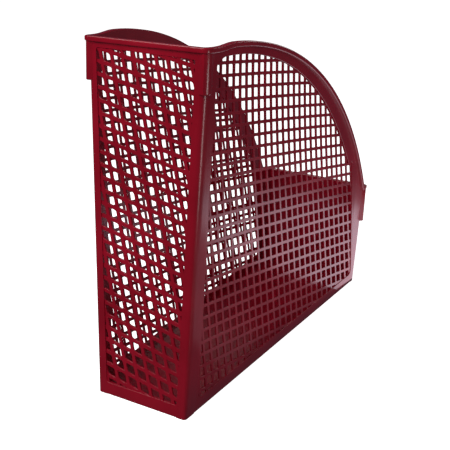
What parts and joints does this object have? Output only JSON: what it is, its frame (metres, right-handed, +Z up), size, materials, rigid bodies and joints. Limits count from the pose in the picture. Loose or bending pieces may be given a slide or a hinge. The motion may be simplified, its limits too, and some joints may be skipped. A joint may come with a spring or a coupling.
{
  "type": "magazine file holder",
  "caption": "Open-topped upright magazine file with skewed mesh walls, arched side edges, a lipped rim and stacking lugs at its corners.",
  "frame": {"origin": "on the resting plane, under the middle of the bounding box", "axes": "+Z up; +X from the tall end wall to the low end wall; the near side wall faces -Y and the far one +Y"},
  "size_m": [0.3317, 0.122, 0.277],
  "materials": {
    "cherry_plastic": "glossy cherry red injection-moulded plastic"
  },
  "bodies": {
    "root": {"floor_plate": "cherry_plastic", "tall_end_wall": "cherry_plastic", "low_end_wall": "cherry_plastic", "near_side_wall": "cherry_plastic", "far_side_wall": "cherry_plastic", "tall_near_corner": "cherry_plastic", "tall_far_corner": "cherry_plastic", "low_near_corner": "cherry_plastic", "low_far_corner": "cherry_plastic", "tall_end_rim": "cherry_plastic", "low_end_rim": "cherry_plastic", "near_arch_rim": "cherry_plastic", "far_arch_rim": "cherry_plastic", "tall_near_lug": "cherry_plastic", "tall_far_lug": "cherry_plastic", "low_near_lug": "cherry_plastic", "low_far_lug": "cherry_plastic"}
  },
  "joints": []
}
